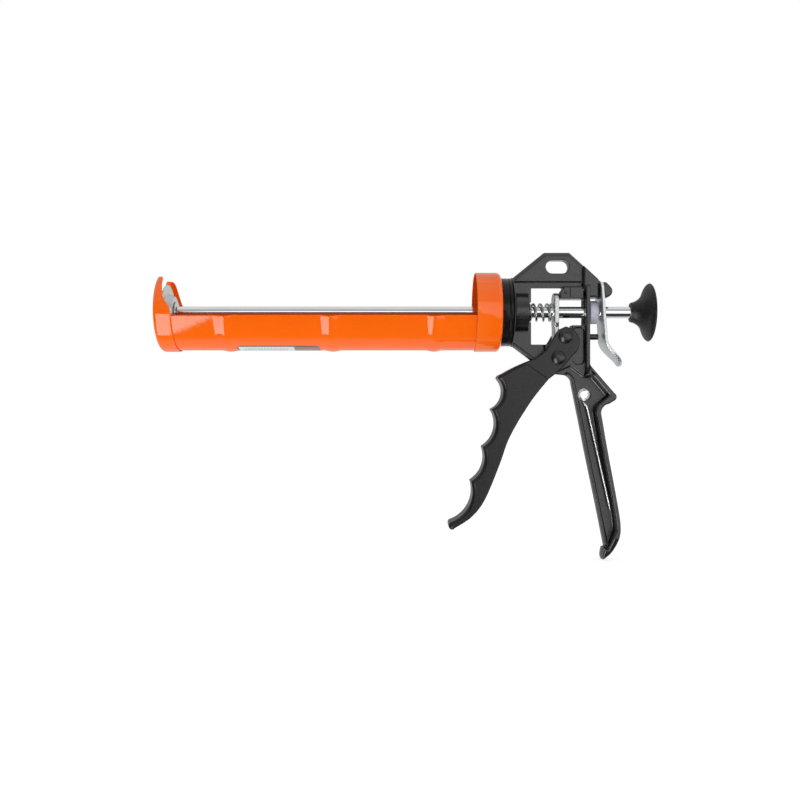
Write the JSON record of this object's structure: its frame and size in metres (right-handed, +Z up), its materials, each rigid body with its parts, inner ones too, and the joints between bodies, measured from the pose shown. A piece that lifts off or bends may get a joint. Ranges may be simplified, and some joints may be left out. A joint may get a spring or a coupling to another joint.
{
  "type": "caulking gun",
  "caption": "Half-barrel caulking gun: open trough that turns on a cast frame, push rod with pusher, squeeze trigger, drive plate, release lever and folded piercing wire.",
  "frame": {"origin": "middle of the hang slot's upper flat, in the tool's mid-plane; the push rod's axis is 36.2 mm below it", "axes": "+X rearwards along the push rod, towards the pull knob; +Z up, towards the hang slot; Y across the tool"},
  "size_m": [0.341, 0.0552, 0.2137],
  "materials": {
    "trough_paint": "gloss",
    "black_cast": "satin",
    "black_plastic": "satin",
    "zinc": "satin",
    "chrome": "polished",
    "nylon": "satin",
    "label": "gloss"
  },
  "bodies": {
    "frame": {"frame_body": "black_cast", "swivel_ring": "black_plastic", "barrel_washer": "zinc", "barrel_nut": "zinc", "rear_bush": "nylon", "release_spring": "zinc", "drive_spring": "zinc", "pivot_rivet": "black_cast"},
    "barrel": {"barrel_trough": "trough_paint", "trough_label": "label", "front_cap": "trough_paint", "rear_collar": "trough_paint"},
    "rod": {"push_rod": "chrome", "pusher_plate": "zinc", "pusher_washer": "zinc", "pusher_nut": "zinc", "rod_knob": "black_plastic"},
    "trigger": {"trigger_lever": "black_cast", "thrust_pin": "black_cast", "thrust_roller": "zinc"},
    "drive_plate": {"drive_plate": "zinc"},
    "release_lever": {"release_lever": "zinc"},
    "pierce_wire": {"pierce_wire": "chrome"}
  },
  "joints": [
    {"name": "barrel_spin", "type": "hinge", "parent": "frame", "child": "barrel", "pos_m": [-0.04, 0, -0.0362], "axis": [1, 0, 0], "continuous": true},
    {"name": "rod_slide", "type": "slide", "parent": "frame", "child": "rod", "axis": [1, 0, 0], "range_m": [0, 0.21]},
    {"name": "trigger_pivot", "type": "hinge", "parent": "frame", "child": "trigger", "pos_m": [-0.0003, 0, -0.0683], "axis": [0, -1, 0], "range_deg": [0, 30], "stiffness_Nm_per_rad": 1, "springref_deg": -20.05},
    {"name": "drive_plate_slide", "type": "slide", "parent": "frame", "child": "drive_plate", "axis": [-1, 0, 0], "range_m": [0, 0.00812], "deforming": ["drive_spring"]},
    {"name": "release_lever_pivot", "type": "hinge", "parent": "frame", "child": "release_lever", "pos_m": [0.0299, 0, -0.0192], "axis": [0, 1, 0], "range_deg": [0, 2.1], "stiffness_Nm_per_rad": 1, "springref_deg": -8.59, "deforming": ["release_spring"]},
    {"name": "pierce_wire_pivot", "type": "hinge", "parent": "frame", "child": "pierce_wire", "pos_m": [0.01905, 0, -0.09375], "axis": [0, 1, 0], "range_deg": [0, 24]}
  ],
  "couplings": [
    {"joint": "drive_plate_slide", "follows": "trigger_pivot", "m_per_rad": 0.01526}
  ]
}
